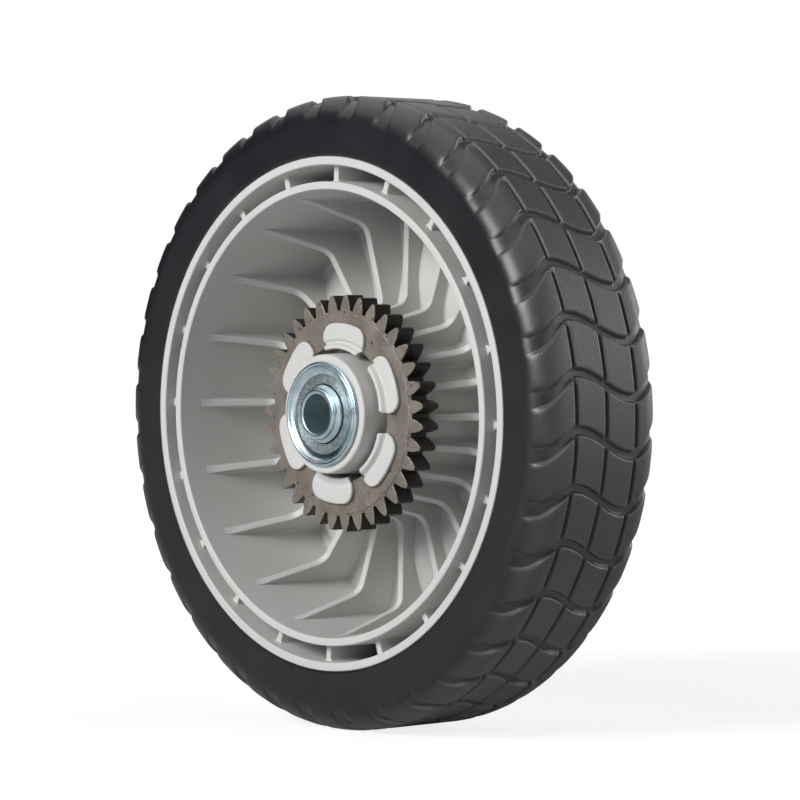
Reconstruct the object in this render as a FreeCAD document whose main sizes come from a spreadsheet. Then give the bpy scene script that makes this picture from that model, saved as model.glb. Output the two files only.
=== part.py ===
import FreeCAD
import Part
import math
import os
import re
import Sketcher

# Driving sizes in millimetres and degrees, with the wheel's axle along Y and the gear on the -Y side.
SIZES = {
    # Tyre
    "tyre_height": 19.35,
    "tyre_width": 51.2,
    "shoulder_radius": 9.6,
    "tread_depth": 2.1,
    "wave_count": 36,
    "wave_phase": 6,
    "wave_height": 4.1,
    "wave_length": 46,
    "wave_end_length": 29,
    "wave_top_width": 4.4,
    "wave_floor_width": 2.8,
    "wave_end_extra": 0.6,
    "wave_wedge_rise": 1.5,
    "wave_steps": 20,
    "ring_groove_pitch": 13,
    "ring_groove_top": 2.1,
    "ring_groove_floor": 1,
    "ring_groove_depth": 1.5,
    # Rim ring, channel and drum
    "rim_radius": 82,
    "rim_width": 51.5,
    "seat_gap": 0.05,
    "ring_wall": 2.8,
    "channel_width": 5.2,
    "channel_depth": 46,
    "channel_draft": 0.5,
    "drum_wall": 2.6,
    "drum_draft": 0.2,
    "floor_wall": 2.4,
    "floor_depth": 49.7,
    "floor_corner": 2.5,
    "floor_inner_radius": 30.5,
    "floor_crest_radius": 43,
    "floor_arch_radius": 38,
    # Webs and ribs
    "rib_count": 20,
    "rib_phase": -1.4,
    "rib_thickness": 2.4,
    "rib_tip_depth": 10.8,
    "rib_shelf_depth": 34.8,
    "rib_shelf_outer": 63.2,
    "rib_shelf_inner": 35.6,
    "rib_lean": 18.5,
    "rib_inner_lean": 15,
    "rib_bend": 6,
    "web_thickness": 2.2,
    "web_recess": 4,
    # Hub and gear lugs
    "hub_radius": 19,
    "hub_length": 50.6,
    "hub_draft": 0.6,
    "hub_edge": 0.8,
    "hub_bore_radius": 12.2,
    "barrel_radius": 27,
    "barrel_draft": 1.6,
    "lug_count": 6,
    "lug_phase": 23.5,
    "lug_inner_radius": 20.7,
    "lug_outer_radius": 29,
    "lug_half_angle": 22.5,
    "lug_waist_angle": 20.5,
    "lug_crown_angle": 12,
    "lug_corner": 5.5,
    "lug_pad_height": 1.5,
    "lug_lip_height": 0.8,
    "lug_lip_width": 1.5,
    "lug_lip_angle": 19,
    "lug_stem_radius": 25.4,
    "lug_stem_angle": 16.5,
    "lug_fit_gap": 0.1,
    "lug_fit_angle": 0.3,
    # Drive gear
    "tooth_count": 35,
    "tooth_phase": 4.85,
    "gear_module": 2,
    "pressure_angle": 20,
    "profile_shift": 0.4,
    "gear_tip_radius": 37.9,
    "gear_root_radius": 32.9,
    "gear_bore_radius": 22,
    "gear_setback": 8,
    "gear_face_width": 7.2,
    "gear_web_step": 0.4,
    # Bearings, measured outwards from the hub's end face
    "axle_bore_radius": 6.4,
    "ball_count": 10,
    "ball_radius": 3.175,
    "ball_pitch_radius": 11.3,
    "ball_depth": 4.5,
    "ball_gap": 0.1,
    "cup_wall": 0.9,
    "cup_depth": 9,
    "cup_lip_radius": 10.4,
    "flange_radius": 16.8,
    "flange_height": 1.2,
    "race_land": 9.35,
    "race_reach": 3.2,
    "race_lip_radius": 7.6,
    "race_lip_edge": 0.6,
    "race_depth": 8.6,
    "shield_thickness": 0.7,
    "shield_top": 0.5,
    "shield_radius": 13.55,
    "shield_gap": 0.3,
    "shield_ledge": 0.55,
    "press_gap": 0.05,
}

# Sizes that follow from the driving sizes.
DERIVED = {
    "front": "-rim_width / 2",
    "back": "rim_width / 2",
    "gear_front": "front + gear_setback",
    "gear_back": "gear_front + gear_face_width",
    "ring_inner": "rim_radius - ring_wall",
    "drum_outer": "ring_inner - channel_width",
    "drum_inner": "drum_outer - drum_wall",
    "channel_floor": "front + channel_depth",
    "channel_back": "channel_floor + floor_wall",
    "floor_front": "front + floor_depth",
    "floor_back": "floor_front + floor_wall",
    "floor_edge": "drum_inner - drum_draft - floor_corner",
    "arch_outer": "floor_edge - floor_crest_radius",
    "arch_inner": "floor_crest_radius - floor_inner_radius",
    "dish_rise": "sqrt(floor_arch_radius ^ 2 - arch_inner ^ 2) - sqrt(floor_arch_radius ^ 2 - arch_outer ^ 2)",
    "rib_outer_run": "rib_bend * tan(45 - rib_lean / 2)",
    "rib_inner_run": "rib_bend * tan(45 - rib_inner_lean / 2)",
    "rib_shelf": "front + rib_shelf_depth",
    "rib_tip_radius": "rib_shelf_outer + (rib_shelf_depth - rib_tip_depth) * tan(rib_lean)",
    "rib_crest": "gear_back + rib_thickness",
    "rib_crest_radius": "rib_shelf_inner - (rib_shelf - rib_crest) * tan(rib_inner_lean)",
    "seat_bore": "rim_radius + seat_gap",
    "tyre_radius": "seat_bore + tyre_height",
    "tread_floor": "tyre_radius - tread_depth",
    "wave_wedge_top": "tyre_radius + wave_wedge_rise * tread_depth",
    "wave_wedge_width": "wave_floor_width + (wave_top_width - wave_floor_width) * (wave_wedge_rise + 1)",
    "wave_end_arc": "shoulder_radius + wave_end_extra",
    "wave_overrun": "wave_end_extra / 2",
    "wave_end_drop": "wave_end_arc - sqrt(wave_end_arc ^ 2 - (shoulder_radius + wave_overrun) ^ 2)",
    "gear_web_front": "gear_front - gear_web_step",
    "lug_front": "gear_web_front - lug_pad_height",
    "hub_face": "hub_length / 2",
    "hub_root_radius": "hub_radius + hub_draft",
    "barrel_root_radius": "barrel_radius + barrel_draft",
    "pitch_radius": "gear_module * tooth_count / 2",
    "base_radius": "pitch_radius * cos(pressure_angle)",
    "pitch_half_angle": "(90 + 360 / pi * profile_shift * tan(pressure_angle)) / tooth_count",
    "tip_pressure": "acos(base_radius / gear_tip_radius) / 1 deg",
    "root_pressure": "acos(min(1; base_radius / gear_root_radius)) / 1 deg",
    "pitch_roll": "180 / pi * tan(pressure_angle) - pressure_angle",
    "tip_roll": "180 / pi * tan(tip_pressure) - tip_pressure",
    "root_roll": "180 / pi * tan(root_pressure) - root_pressure",
    "tip_half_angle": "pitch_half_angle + pitch_roll - tip_roll",
    "root_half_angle": "pitch_half_angle + pitch_roll - root_roll",
    "flank_radius": "pitch_radius * sin(pressure_angle)",
    "track_radius": "ball_radius + ball_gap",
    "cup_radius": "ball_pitch_radius + track_radius + cup_wall",
    "cup_land": "shield_radius - shield_ledge",
    "cup_track_reach": "sqrt(track_radius ^ 2 - (cup_land - ball_pitch_radius) ^ 2)",
    "race_track_reach": "sqrt(track_radius ^ 2 - (ball_pitch_radius - race_land) ^ 2)",
    "shield_back": "shield_top - shield_thickness",
    "seat_radius": "cup_radius + press_gap",
    "seat_depth": "cup_depth + press_gap",
}

WORD = re.compile(r"[a-z][a-z_]*")
CENTRE = FreeCAD.Vector(0, 0, 0)
AXLE = FreeCAD.Vector(0, 1, 0)

document = FreeCAD.newDocument("mower_wheel")


def add_sheet():
    """Put every driving and derived size in one sheet, each in a cell with its own name."""
    cells = document.addObject("Spreadsheet::Sheet", "sizes")
    entries = [(word, str(number)) for word, number in SIZES.items()]
    entries += [(word, "=" + formula) for word, formula in DERIVED.items()]
    for row, (word, content) in enumerate(entries, start=1):
        cells.set(f"A{row}", word)
        cells.set(f"B{row}", content)
        cells.setAlias(f"B{row}", word)
    document.recompute()
    return cells


sheet = add_sheet()


def bound(formula):
    """The formula with every size name pointing at the sheet."""
    def point(match):
        word = match.group(0)
        return "sizes." + word if word in SIZES or word in DERIVED else word
    return WORD.sub(point, formula)


def value(formula):
    """The number that a formula of size names gives."""
    return float(sheet.evalExpression(bound(formula)))


def new_body(name):
    """An empty body whose label is the piece's name."""
    body = document.addObject("PartDesign::Body", name)
    body.Label = name
    return body


def origin_feature(body, role):
    """The body's own origin plane or axis with this role."""
    return next(item for item in body.Origin.OriginFeatures if item.Role == role)


def arc_between(start, end, radius, side):
    """The shorter arc from start to end, with its centre on the left (side 1) or right (side -1)."""
    along = end - start
    left = FreeCAD.Vector(-along.y, along.x, 0).normalize()
    rise = math.sqrt(max(radius ** 2 - along.Length ** 2 / 4, 0))
    centre = (start + end) / 2 + left * (rise * side)
    circle = Part.Circle(centre, FreeCAD.Vector(0, 0, 1), radius)
    first, last = (start, end) if side > 0 else (end, start)
    return Part.ArcOfCircle(circle, circle.parameter(first), circle.parameter(last))


def outline(body, name, plane, corners, height="0", turn="0", turn_axis=FreeCAD.Vector(0, 0, 1)):
    """A closed sketch through corners (x, y), where (x, y, radius, side) starts an arc to the next one."""
    sketch = body.newObject("Sketcher::SketchObject", name)
    sketch.AttachmentSupport = (origin_feature(body, plane), [""])
    sketch.MapMode = "FlatFace"
    turned = FreeCAD.Rotation(turn_axis, value(turn))
    sketch.AttachmentOffset = FreeCAD.Placement(FreeCAD.Vector(0, 0, value(height)), turned)
    sketch.setExpression("AttachmentOffset.Base.z", bound(height))
    sketch.setExpression("AttachmentOffset.Rotation.Angle", bound(turn))
    points = [FreeCAD.Vector(value(corner[0]), value(corner[1]), 0) for corner in corners]
    ends = []
    for index, corner in enumerate(corners):
        start, end = points[index], points[(index + 1) % len(points)]
        if len(corner) == 2:
            sketch.addGeometry(Part.LineSegment(start, end))
            ends.append((1, 2))
        else:
            sketch.addGeometry(arc_between(start, end, value(corner[2]), corner[3]))
            ends.append((1, 2) if corner[3] > 0 else (2, 1))
    for index, corner in enumerate(corners):
        following = (index + 1) % len(corners)
        sketch.addConstraint(Sketcher.Constraint(
            "Coincident", index, ends[index][1], following, ends[following][0]))
        bind(sketch, "DistanceX", f"x{index}", (-1, 1, index, ends[index][0]), corner[0])
        bind(sketch, "DistanceY", f"y{index}", (-1, 1, index, ends[index][0]), corner[1])
        if len(corner) > 2:
            bind(sketch, "Radius", f"radius{index}", (index,), corner[2])
    return sketch


def bind(sketch, kind, name, targets, formula):
    """A named sketch dimension tied to a formula of the sheet."""
    number = sketch.addConstraint(Sketcher.Constraint(kind, *targets, value(formula)))
    sketch.renameConstraint(number, name)
    sketch.setExpression("Constraints." + name, bound(formula))


def add_feature(body, kind, name, sketch):
    """A feature of the body made from one sketch."""
    feature = body.newObject("PartDesign::" + kind, name)
    feature.Profile = sketch
    sketch.Visibility = False
    return feature


def revolve(body, name, sketch, kind="Revolution"):
    """The sketch turned once round the axle."""
    feature = add_feature(body, kind, name, sketch)
    feature.ReferenceAxis = (sketch, ["V_Axis"])
    feature.Angle = 360
    document.recompute()
    return feature


def extrude(body, name, sketch, length, kind="Pad", symmetric=False):
    """The sketch pushed along its normal: a pad, or a pocket that runs against it."""
    feature = add_feature(body, kind, name, sketch)
    feature.setExpression("Length", bound(length))
    feature.Midplane = symmetric
    document.recompute()
    return feature


def repeat(body, name, features, count):
    """Features of the body repeated evenly round the axle."""
    pattern = body.newObject("PartDesign::PolarPattern", name)
    pattern.Originals = features
    pattern.Axis = (origin_feature(body, "Y_Axis"), [""])
    pattern.Angle = 360
    pattern.setExpression("Occurrences", bound(count))
    body.Tip = pattern
    document.recompute()
    return pattern


def polar(radius, angle):
    """The two coordinates, as formulas, of a point given by its radius and its angle."""
    return f"({radius}) * cos({angle})", f"({radius}) * sin({angle})"


def make_tyre():
    """Rubber ring of equal pitches, each with one wavy cross groove and its share of the ring grooves."""
    pitch = new_body("tyre_pitch")
    half = "tyre_width / 2"
    shoulder = f"{half} - shoulder_radius"
    side = "tyre_radius - shoulder_radius"
    section = outline(pitch, "tyre_section", "XY_Plane", [
        ("seat_bore", f"-({half})"),
        (side, f"-({half})", "shoulder_radius", 1),
        ("tyre_radius", f"-({shoulder})"),
        ("tyre_radius", shoulder, "shoulder_radius", 1),
        (side, half),
        ("seat_bore", half),
    ])
    segment = revolve(pitch, "tyre_segment", section)
    segment.setExpression("Angle", bound("360 / wave_count"))
    segment.Midplane = True
    for place in (-1, 0, 1):
        middle = f"{place} * ring_groove_pitch"
        groove = outline(pitch, f"ring_groove_section_{place + 2}", "XY_Plane", [
            ("tyre_radius - ring_groove_depth", f"{middle} - ring_groove_floor / 2"),
            ("tyre_radius + ring_groove_depth", f"{middle} + ring_groove_floor / 2 - ring_groove_top"),
            ("tyre_radius + ring_groove_depth", f"{middle} - ring_groove_floor / 2 + ring_groove_top"),
            ("tyre_radius - ring_groove_depth", f"{middle} + ring_groove_floor / 2"),
        ])
        revolve(pitch, f"ring_groove_{place + 2}", groove, "Groove")

    band = new_body("tread_band")
    outside = "tyre_radius + tread_depth"
    beyond = f"{half} + wave_overrun"
    end = "tread_floor - wave_end_drop"
    band_section = outline(band, "tread_band_section", "XY_Plane", [
        (end, f"-({beyond})", "wave_end_arc", 1),
        ("tread_floor", f"-({shoulder})"),
        ("tread_floor", shoulder, "wave_end_arc", 1),
        (end, beyond),
        (outside, beyond),
        (outside, f"-({beyond})"),
    ])
    revolve(band, "tread_band_ring", band_section)

    wedge = document.addObject("Part::Feature", "wave_wedge")
    wedge.Shape = wave_wedge()
    groove = document.addObject("Part::Common", "wave_groove")
    groove.Base = wedge
    groove.Tool = band
    grooved = document.addObject("Part::Cut", "grooved_pitch")
    grooved.Base = pitch
    grooved.Tool = groove
    document.recompute()

    tyre = document.addObject("Part::Feature", "tyre")
    tyre.Shape = closed_ring(grooved.Shape, round(value("wave_count")))
    tyre.Placement = FreeCAD.Placement(CENTRE, FreeCAD.Rotation(AXLE, -value("wave_phase")))
    return tyre


def closed_ring(segment, count):
    """One solid from equal segments round the axle, without the flat ends where they meet."""
    skin = [face for face in segment.Faces if not is_segment_end(face)]
    faces = []
    for number in range(count):
        for face in skin:
            copy = face.copy()
            copy.rotate(CENTRE, AXLE, number * 360 / count)
            faces.append(copy)
    ring = Part.Compound(faces)
    ring.sewShape()
    return Part.Solid(ring.Shells[0]).removeSplitter()


def is_segment_end(face):
    """Whether a face lies in a plane through the axle."""
    plane = face.findPlane()
    return plane is not None and plane.projectPoint(CENTRE).Length < 1e-6 and abs(plane.Axis.y) < 1e-6


def wave_line(offset, distance):
    """Spline along one wave across the tread, at a distance from the axle.

    Between its two crests it is a sine, and outside them, over the shoulders, it turns back more steeply.
    """
    reach = value("tyre_width / 2 + tread_depth")
    crest = value("wave_length / 4")
    steps = round(value("wave_steps"))
    points = []
    for step in range(steps + 1):
        across = reach * (2 * step / steps - 1)
        if abs(across) < crest:
            bend = math.sin(2 * math.pi * across / value("wave_length"))
        else:
            turn = 2 * math.pi * (abs(across) - crest) / value("wave_end_length")
            bend = math.copysign(math.cos(turn), across)
        rise = -value("wave_height") * bend
        points.append(FreeCAD.Vector(distance, across, rise + offset))
    curve = Part.BSplineCurve()
    curve.interpolate(points)
    return curve.toShape()


def wave_strip(width, distance):
    """Closed wire of a wavy strip of one width, at a distance from the axle."""
    low = wave_line(-width / 2, distance)
    high = wave_line(width / 2, distance)
    first = Part.makeLine(low.firstVertex().Point, high.firstVertex().Point)
    last = Part.makeLine(high.lastVertex().Point, low.lastVertex().Point)
    return Part.Wire([low, last, high, first])


def wave_wedge():
    """Wavy wedge of one cross groove, even below the tread's floor and wider above it."""
    narrow = value("wave_floor_width")
    return Part.makeLoft([
        wave_strip(narrow, value("tread_floor - wave_end_drop - tread_depth")),
        wave_strip(narrow, value("tread_floor")),
        wave_strip(value("wave_wedge_width"), value("wave_wedge_top")),
    ], True, True)


def make_rim():
    """One plastic moulding: ring, channel, drum, ribbed dish, hub and the lugs that hold the gear."""
    rim = new_body("rim")
    seat = "hub_face - seat_depth"
    section = outline(rim, "rim_section", "XY_Plane", [
        ("rim_radius", "front"),
        ("ring_inner", "front"),
        ("ring_inner - channel_draft", "channel_floor"),
        ("drum_outer + channel_draft", "channel_floor"),
        ("drum_outer", "front"),
        ("drum_inner", "front"),
        ("drum_inner - drum_draft", "floor_front - floor_corner", "floor_corner", 1),
        ("floor_edge", "floor_front", "floor_arch_radius", -1),
        ("floor_inner_radius", "floor_front - dish_rise"),
        ("barrel_root_radius", "floor_front - dish_rise - floor_wall"),
        ("barrel_radius", "gear_back"),
        ("hub_root_radius", "gear_back"),
        ("hub_radius", "-hub_face + hub_edge", "hub_edge", 1),
        ("hub_radius - hub_edge", "-hub_face"),
        ("seat_radius", "-hub_face"),
        ("seat_radius", f"-({seat})"),
        ("hub_bore_radius", f"-({seat})"),
        ("hub_bore_radius", seat),
        ("seat_radius", seat),
        ("seat_radius", "hub_face"),
        ("hub_radius - hub_edge", "hub_face", "hub_edge", 1),
        ("hub_radius", "hub_face - hub_edge"),
        ("hub_root_radius", "gear_back + floor_wall"),
        ("barrel_radius - floor_wall", "gear_back + floor_wall"),
        ("barrel_root_radius - floor_wall", "floor_back - dish_rise"),
        ("floor_inner_radius", "floor_back - dish_rise", "floor_arch_radius", 1),
        ("floor_edge", "floor_back"),
        ("drum_outer", "floor_back"),
        ("drum_outer", "channel_back"),
        ("ring_inner", "channel_back"),
        ("ring_inner", "back"),
        ("rim_radius", "back"),
    ])
    revolve(rim, "rim_ring", section)

    inside_drum = "drum_outer - drum_wall / 2"
    in_floor = "floor_front + floor_wall / 2"
    rib_face = outline(rim, "rib_outline", "XY_Plane", [
        (inside_drum, "front + rib_tip_depth"),
        ("rib_tip_radius", "front + rib_tip_depth"),
        ("rib_shelf_outer + rib_outer_run * sin(rib_lean)",
         "rib_shelf - rib_outer_run * cos(rib_lean)", "rib_bend", 1),
        ("rib_shelf_outer - rib_outer_run", "rib_shelf"),
        ("rib_shelf_inner + rib_inner_run", "rib_shelf", "rib_bend", 1),
        ("rib_shelf_inner - rib_inner_run * sin(rib_inner_lean)",
         "rib_shelf - rib_inner_run * cos(rib_inner_lean)"),
        ("rib_crest_radius", "rib_crest"),
        ("barrel_radius - floor_wall / 2", "rib_crest"),
        ("barrel_root_radius - floor_wall / 2", f"{in_floor} - dish_rise"),
        ("floor_inner_radius", f"{in_floor} - dish_rise", "floor_arch_radius", 1),
        ("floor_edge", in_floor),
        (inside_drum, in_floor),
    ], turn="-rib_phase", turn_axis=FreeCAD.Vector(0, 1, 0))
    rib = extrude(rim, "rib", rib_face, "rib_thickness", symmetric=True)

    web_face = outline(rim, "web_outline", "XZ_Plane", [
        (inside_drum, "-web_thickness / 2"),
        ("ring_inner + ring_wall / 2", "-web_thickness / 2"),
        ("ring_inner + ring_wall / 2", "web_thickness / 2"),
        (inside_drum, "web_thickness / 2"),
    ], height="-channel_floor", turn="rib_phase")
    web = extrude(rim, "web", web_face, "channel_depth - web_recess")
    repeat(rim, "ribs_and_webs", [rib, web], "rib_count")

    stem_face = outline(rim, "lug_stem_outline", "XZ_Plane", sector(
        "lug_inner_radius", "lug_stem_radius", "lug_stem_angle"), height="-gear_back", turn="lug_phase")
    stem = extrude(rim, "lug_stem", stem_face, "gear_back - gear_web_front")
    pad_face = outline(rim, "lug_pad_outline", "XZ_Plane", lug_pad(),
                       height="-gear_web_front", turn="lug_phase")
    pad = extrude(rim, "lug_pad", pad_face, "lug_pad_height")
    lip_face = outline(rim, "lug_lip_outline", "XZ_Plane", sector(
        "lug_inner_radius", "(lug_inner_radius + lug_lip_width)", "lug_lip_angle"),
        height="-lug_front", turn="lug_phase")
    lip = extrude(rim, "lug_lip", lip_face, "lug_lip_height")
    repeat(rim, "lugs", [stem, pad, lip], "lug_count")
    return rim


def sector(inner, outer, half_angle):
    """Corners of a ring sector centred on the first axis."""
    return [
        (*polar(inner, f"-{half_angle}"),),
        (*polar(outer, f"-{half_angle}"), outer, 1),
        (*polar(outer, half_angle),),
        (*polar(inner, half_angle), inner, -1),
    ]


def lug_pad():
    """Bean-shaped pad over the gear: a crown arc, two rounded shoulders and an inner arc beside the hub."""
    waist = "lug_outer_radius - lug_corner"
    return [
        (*polar("lug_inner_radius", "-lug_waist_angle"),),
        (*polar(waist, "-lug_half_angle"), "lug_corner", 1),
        (*polar("lug_outer_radius", "-lug_crown_angle"), "lug_outer_radius", 1),
        (*polar("lug_outer_radius", "lug_crown_angle"), "lug_corner", 1),
        (*polar(waist, "lug_half_angle"),),
        (*polar("lug_inner_radius", "lug_waist_angle"), "lug_inner_radius", -1),
    ]


def make_gear():
    """Sintered spur gear with a raised web and notches for the lugs of the rim."""
    gear = new_body("drive_gear")
    section = outline(gear, "gear_section", "XY_Plane", [
        ("gear_bore_radius", "gear_back - seat_gap"),
        ("gear_bore_radius", "gear_web_front + seat_gap"),
        ("gear_root_radius - gear_web_step", "gear_web_front + seat_gap"),
        ("gear_root_radius", "gear_front"),
        ("gear_root_radius", "gear_back - seat_gap"),
    ])
    revolve(gear, "gear_blank", section)
    root = "gear_root_radius - gear_web_step"
    tooth_face = outline(gear, "tooth_outline", "XZ_Plane", [
        (*polar(root, "-root_half_angle"),),
        (*polar("gear_root_radius", "-root_half_angle"), "flank_radius", 1),
        (*polar("gear_tip_radius", "-tip_half_angle"), "gear_tip_radius", 1),
        (*polar("gear_tip_radius", "tip_half_angle"), "flank_radius", 1),
        (*polar("gear_root_radius", "root_half_angle"),),
        (*polar(root, "root_half_angle"),),
    ], height="-gear_back + seat_gap", turn="tooth_phase")
    tooth = extrude(gear, "tooth", tooth_face, "gear_face_width - seat_gap")
    repeat(gear, "teeth", [tooth], "tooth_count")
    notch_face = outline(gear, "notch_outline", "XZ_Plane", sector(
        "lug_inner_radius", "lug_stem_radius + lug_fit_gap", "(lug_stem_angle + lug_fit_angle)"),
        height="-gear_web_front + seat_gap", turn="lug_phase")
    notch = extrude(gear, "notch", notch_face, "gear_back - gear_web_front", kind="Pocket")
    repeat(gear, "notches", [notch], "lug_count")
    return gear


def make_bearing(side, sign):
    """Flanged ball bearing in one end of the hub: cup, shield, inner race and balls."""
    def at(height):
        return f"{sign} * (hub_face + {height})"

    turn = -sign
    cup = new_body("bearing_cup_" + side)
    bead = "flange_height / 2"
    cup_section = outline(cup, f"cup_section_{side}", "XY_Plane", [
        ("cup_radius", at("0")),
        (f"flange_radius - {bead}", at("0"), bead, -turn),
        (f"flange_radius - {bead}", at("flange_height")),
        ("flange_radius - flange_height", at("flange_height"), "2 * flange_height", turn),
        ("shield_radius + press_gap", at("shield_top")),
        ("shield_radius + press_gap", at("shield_back - press_gap")),
        ("cup_land", at("shield_back - press_gap")),
        ("cup_land", at("cup_track_reach - ball_depth"), "track_radius", turn),
        ("cup_land", at("-cup_track_reach - ball_depth")),
        ("cup_land", at("cup_wall - cup_depth")),
        ("cup_lip_radius", at("cup_wall - cup_depth")),
        ("cup_lip_radius", at("-cup_depth")),
        ("cup_radius - cup_wall", at("-cup_depth"), "cup_wall", -turn),
        ("cup_radius", at("cup_wall - cup_depth")),
    ])
    revolve(cup, f"cup_ring_{side}", cup_section)

    shield = new_body("bearing_shield_" + side)
    shield_section = outline(shield, f"shield_section_{side}", "XY_Plane", [
        ("race_land + shield_gap", at("shield_back")),
        ("shield_radius", at("shield_back")),
        ("shield_radius", at("shield_top")),
        ("race_land + shield_gap", at("shield_top")),
    ])
    revolve(shield, f"shield_ring_{side}", shield_section)

    race = new_body("inner_race_" + side)
    lip = "race_lip_radius + race_lip_edge"
    race_section = outline(race, f"race_section_{side}", "XY_Plane", [
        ("axle_bore_radius", at("-race_depth")),
        ("axle_bore_radius", at("race_reach - race_lip_edge")),
        ("axle_bore_radius + race_lip_edge", at("race_reach")),
        ("race_lip_radius", at("race_reach"), "race_lip_edge", turn),
        (lip, at("race_reach - race_lip_edge"), "race_reach", turn),
        ("race_land", at("shield_top")),
        ("race_land", at("race_track_reach - ball_depth"), "track_radius", -turn),
        ("race_land", at("-race_track_reach - ball_depth")),
        ("race_land", at("-race_depth")),
    ])
    revolve(race, f"race_ring_{side}", race_section)

    balls = []
    for number in range(1, round(value("ball_count")) + 1):
        ball = document.addObject("Part::Sphere", f"ball_{side}_{number}")
        ball.Label = f"ball_{side}_{number}"
        angle = f"{number} * 360 / ball_count"
        across, up = polar("ball_pitch_radius", angle)
        ball.setExpression("Radius", bound("ball_radius"))
        ball.setExpression("Placement.Base.x", bound(across))
        ball.setExpression("Placement.Base.y", bound(at("-ball_depth")))
        ball.setExpression("Placement.Base.z", bound(up))
        balls.append(ball)
    document.recompute()
    return [cup, shield, race, *balls]


def check(pieces):
    """Stop if any object failed or any piece is empty or not a valid solid."""
    for item in document.Objects:
        if "Invalid" in item.State or "Error" in item.State:
            raise RuntimeError(f"{item.Label} failed: {item.State}")
    for piece in pieces:
        if piece.Shape.isNull() or not piece.Shape.isValid() or not piece.Shape.Solids:
            raise RuntimeError(f"{piece.Label} has no valid solid")


pieces = [make_tyre(), make_rim(), make_gear()]
pieces += make_bearing("front", -1)
pieces += make_bearing("rear", 1)
document.recompute()
check(pieces)
os.makedirs("parts", exist_ok=True)
for piece in pieces:
    piece.Shape.exportStep(f"parts/{piece.Label}.step")
    print(piece.Label, len(piece.Shape.Solids), len(piece.Shape.Faces), round(piece.Shape.Volume, 1))
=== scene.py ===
import bpy
import numpy as np
from mathutils import Matrix, Vector


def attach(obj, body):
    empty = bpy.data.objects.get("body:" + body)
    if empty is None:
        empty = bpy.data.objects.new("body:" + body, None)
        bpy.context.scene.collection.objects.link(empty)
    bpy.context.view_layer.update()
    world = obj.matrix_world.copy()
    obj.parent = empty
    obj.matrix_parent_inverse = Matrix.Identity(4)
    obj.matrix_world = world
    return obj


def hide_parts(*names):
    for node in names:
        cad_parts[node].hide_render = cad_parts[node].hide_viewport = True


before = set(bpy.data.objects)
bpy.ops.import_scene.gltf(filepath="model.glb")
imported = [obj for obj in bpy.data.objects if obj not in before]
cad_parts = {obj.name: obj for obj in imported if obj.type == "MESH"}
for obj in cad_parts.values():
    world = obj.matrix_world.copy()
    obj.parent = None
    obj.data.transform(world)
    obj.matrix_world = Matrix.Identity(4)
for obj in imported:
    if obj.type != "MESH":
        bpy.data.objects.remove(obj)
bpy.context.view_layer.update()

# Sizes are in millimetres. The axle runs along Y with the gear side at -Y. Angles turn from X to Z.
MILLIMETRE = 0.001
TURN = 2 * np.pi

# Tyre: its section, the wavy cross grooves and the three ring grooves. Phases are in degrees.
TYRE_RADIUS = 101.4
TYRE_HALF = 25.6
SHOULDER = 9.6
SEAT_RADIUS = 82.05
TREAD_DEPTH = 1.7
WAVE_COUNT = 36
WAVE_PHASE = 6
WAVE_HEIGHT = 4.1
WAVE_LENGTH = 46
WAVE_END_LENGTH = 29
WAVE_TOP = 3.3
WAVE_WALLS = 1.3
WAVE_END_WIDER = 1.2
WAVE_END_SOFT = 1.0
WAVE_END_ARC = 10.2
BLOCK_EDGE = 0.7
GROOVE_CORNER = 0.6
RING_PITCH = 13
RING_TOP = 2.1
RING_FLOOR = 1
RING_DEPTH = 1.5
RING_EDGE = 0.4

# Rim moulding, from the outer ring inwards to the hub, with its ribs, webs and lugs.
FRONT = -25.75
BACK = 25.75
RIM_RADIUS = 82
RING_INNER = 79.2
DRUM_OUTER = 74
DRUM_INNER = 71.4
CHANNEL_FLOOR = 20.25
FLOOR_FRONT = 23.95
FLOOR_EDGE = 68.7
FLOOR_INNER = 30.5
FLOOR_CREST = 43
FLOOR_ARCH = 38
POCKET_ARCH = 66
WALL = 2.4
GEAR_FRONT = -17.75
GEAR_BACK = -10.55
WEB_FRONT = -18.15
HUB_FACE = 25.3
HUB_RADIUS = 19
BARREL_RADIUS = 27
BARREL_ROOT = 28.6
RIB_COUNT = 20
RIB_PHASE = -1.4
RIB_THICKNESS = 2.4
RIB_TIP = -14.95
RIB_SHELF = 9.05
RIB_CREST = -8.15
RIB_SHELF_OUTER = 63.2
RIB_SHELF_INNER = 35.6
RIB_LEAN = np.radians(18.5)
RIB_INNER_LEAN = np.radians(15)
RIB_BEND = 4.5
RIB_FLARE = 0.6
RIB_EDGE = 0.5
BAYS_IN_GROUP = 4
WEB_THICKNESS = 2.2
WEB_TOP = -21.75
WEB_EDGE = 0.5
LUG_COUNT = 6
LUG_PHASE = 23.5
LUG_INNER = 20.7
LUG_OUTER = 29
LUG_TOP = -19.65
LUG_MIDDLE = 24.9
LUG_EDGE = 0.55
STEM_OUTER = 25.4
STEM_HALF_ANGLE = 16.5

# Gear: involute teeth of module 2 on a web with six notches for the lugs.
TOOTH_COUNT = 35
TOOTH_PHASE = 4.85
PITCH_RADIUS = 35
PRESSURE_ANGLE = np.radians(20)
PROFILE_SHIFT = 0.4
TIP_RADIUS = 37.9
ROOT_RADIUS = 32.9
GEAR_BORE = 22
NOTCH_RADIUS = 25.5
NOTCH_HALF_ANGLE = 16.8
TOOTH_EDGE = 0.22

# Bearings. Places along the axle count outwards from the hub's end face.
CUP_SEAT = 15.525
CUP_SEAT_END = 16.25
AXLE_SPACE = 12.2
CUP_RADIUS = 15.475
BALL_CIRCLE = (11.3, -4.5)
TRACK_RADIUS = 3.275
BORE_RADIUS = 6.4
SHIELD_FACE = 0.15

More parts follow.
